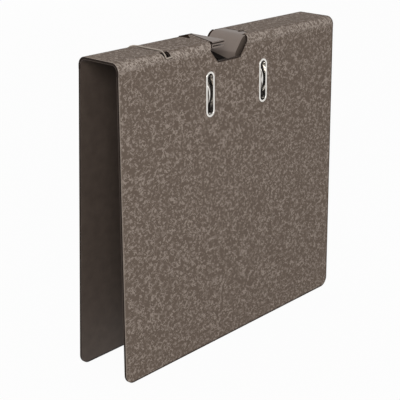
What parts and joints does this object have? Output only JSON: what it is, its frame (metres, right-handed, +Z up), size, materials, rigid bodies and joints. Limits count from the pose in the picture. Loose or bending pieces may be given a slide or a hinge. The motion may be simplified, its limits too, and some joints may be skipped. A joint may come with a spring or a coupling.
{
  "type": "hanging lever arch file",
  "caption": "Hanging lever arch file: marbled board covers on a folded spine with a rail cut-out, metal-rimmed slots and a lever arch mechanism inside.",
  "frame": {"origin": "middle of the file at the level of the covers' bottom edges", "axes": "+X along the spine, +Y from the front cover to the back cover, +Z up to the spine"},
  "size_m": [0.32, 0.0634, 0.305],
  "materials": {
    "marbled_paper": "cloud-marbled cover paper, matt",
    "pasteboard": "solid dark pasteboard, raw cut edges",
    "liner_paper": "plain dark lining paper, matt",
    "hanger_sheet": "steel sheet, matt grey-brown enamel",
    "nickel_plate": "bright nickel plate",
    "zinc_steel": "zinc-plated pressed steel",
    "roller_nylon": "black nylon"
  },
  "bodies": {
    "spine": {"spine_board": "pasteboard", "spine_paper": "marbled_paper", "spine_liner": "liner_paper", "hanger_lip": "hanger_sheet", "guide_tongue": "hanger_sheet"},
    "front_cover": {"front_board": "pasteboard", "front_paper": "marbled_paper", "front_liner": "liner_paper", "eyelet_left": "nickel_plate", "eyelet_right": "nickel_plate"},
    "back_cover": {"back_board": "pasteboard", "back_paper": "marbled_paper", "back_liner": "liner_paper", "base_plate": "zinc_steel", "mechanism_rivets": "nickel_plate", "post_left": "nickel_plate", "post_right": "nickel_plate", "axle_bearings": "zinc_steel", "lever_bracket": "zinc_steel", "bracket_rivets": "nickel_plate", "lever_pin": "nickel_plate"},
    "arch": {"arch_wire": "nickel_plate"},
    "lever": {"lever": "zinc_steel", "roller_pin": "nickel_plate"},
    "roller": {"roller": "roller_nylon"},
    "compressor": {"compressor_bar": "zinc_steel", "compressor_catches": "zinc_steel"}
  },
  "joints": [
    {"name": "front_fold", "type": "hinge", "parent": "spine", "child": "front_cover", "pos_m": [0, -0.02375, 0.29545], "axis": [-1, 0, 0], "range_deg": [-1.3, 88.7]},
    {"name": "back_fold", "type": "hinge", "parent": "spine", "child": "back_cover", "pos_m": [0, 0.02375, 0.29545], "axis": [1, 0, 0], "range_deg": [-1.3, 88.7]},
    {"name": "lever_pivot", "type": "hinge", "parent": "back_cover", "child": "lever", "pos_m": [0, 0.00392, 0.25466], "axis": [1, 0, 0], "range_deg": [0, 70]},
    {"name": "arch_swing", "type": "hinge", "parent": "back_cover", "child": "arch", "pos_m": [0, 0.01891, 0.2575], "axis": [-1, 0, 0], "range_deg": [0, 42]},
    {"name": "roller_spin", "type": "hinge", "parent": "lever", "child": "roller", "pos_m": [0, 0.00979, 0.26239], "axis": [1, 0, 0], "continuous": true},
    {"name": "compressor_slide", "type": "slide", "parent": "back_cover", "child": "compressor", "axis": [0, -0.9997, -0.0227], "range_m": [0, 0.015]}
  ],
  "couplings": [
    {"joint": "arch_swing", "follows": "lever_pivot", "ratio": 0.6}
  ]
}
